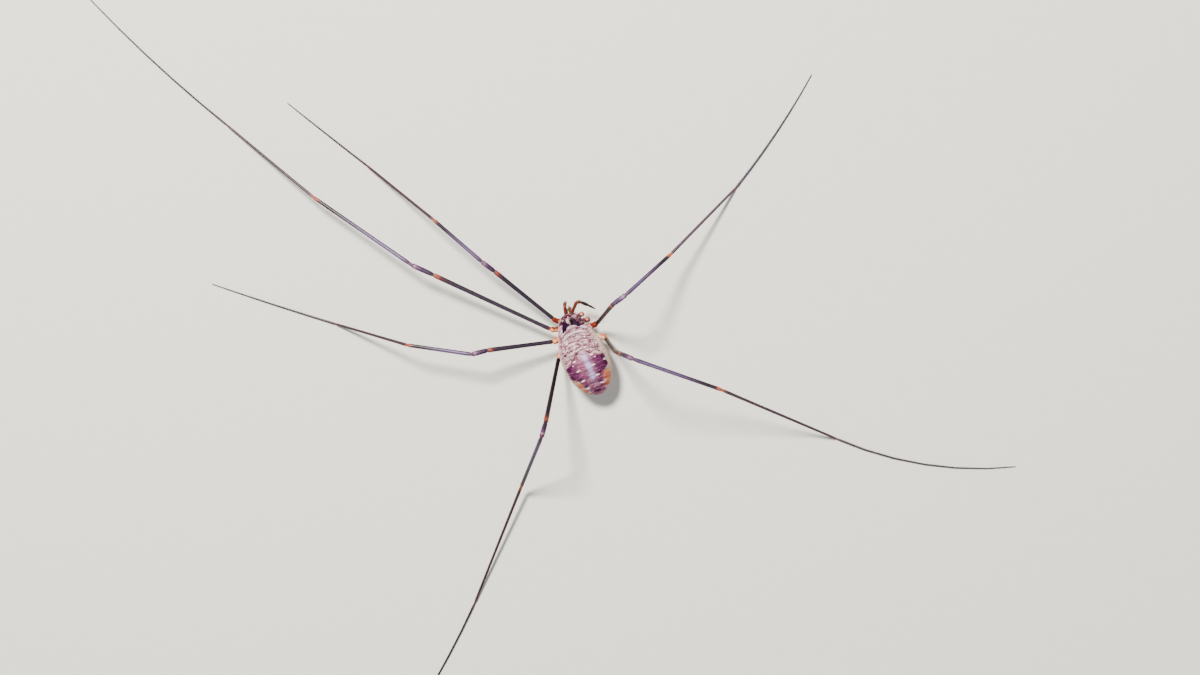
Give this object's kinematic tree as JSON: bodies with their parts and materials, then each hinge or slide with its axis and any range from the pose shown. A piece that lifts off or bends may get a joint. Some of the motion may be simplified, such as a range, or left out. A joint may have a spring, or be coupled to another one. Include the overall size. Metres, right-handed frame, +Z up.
{
  "type": "harvestman",
  "caption": "Life-size still model of a harvestman: small domed oval body, eye mound, feelers and long thread-thin legs spread over the floor, some of one side lost.",
  "frame": {"origin": "centre of the foot of the bounding box, on the floor that the feet rest on", "axes": "+Z up, -Y the way the head looks along the body's middle line, +X the animal's left"},
  "size_m": [0.0628, 0.0764, 0.0095],
  "materials": {
    "back": "matte, finely granulated cuticle",
    "mound": "satin, pale cuticle",
    "eye": "wet gloss, black",
    "coxa": "satin, translucent orange cuticle",
    "palp": "satin, translucent orange-brown cuticle",
    "belly": "matte, cream cuticle",
    "leg": "satin, dark brown cuticle",
    "foot": "matte, dark brown, short-haired"
  },
  "bodies": {
    "root": {"prosoma": "back", "opisthosoma": "back", "ocularium": "mound", "eye_l": "eye", "eye_r": "eye", "genital_plate": "belly", "chelicera_l": "palp", "chelicera_r": "palp", "palp_femur_l": "palp", "palp_patella_l": "palp", "palp_tibia_l": "palp", "palp_tarsus_l": "palp", "coxa_l1": "coxa", "coxa_l2": "coxa", "coxa_l3": "coxa", "coxa_l4": "coxa", "palp_femur_r": "palp", "palp_patella_r": "palp", "palp_tibia_r": "palp", "palp_tarsus_r": "palp", "coxa_r1": "coxa", "coxa_r2": "coxa", "coxa_r3": "coxa", "coxa_r4": "coxa", "femur_l1": "leg", "patella_l1": "leg", "tibia_l1": "leg", "metatarsus_l1": "leg", "tarsus_l1": "foot", "femur_l2": "leg", "patella_l2": "leg", "tibia_l2": "leg", "metatarsus_l2": "leg", "tarsus_l2": "foot", "femur_l3": "leg", "patella_l3": "leg", "tibia_l3": "leg", "metatarsus_l3": "leg", "tarsus_l3": "foot", "femur_l4": "leg", "patella_l4": "leg", "tibia_l4": "leg", "metatarsus_l4": "leg", "tarsus_l4": "foot", "femur_r3": "leg", "patella_r3": "leg", "tibia_r3": "leg", "metatarsus_r3": "leg", "tarsus_r3": "foot", "femur_r4": "leg", "patella_r4": "leg", "tibia_r4": "leg", "metatarsus_r4": "leg", "tarsus_r4": "foot"}
  },
  "joints": []
}
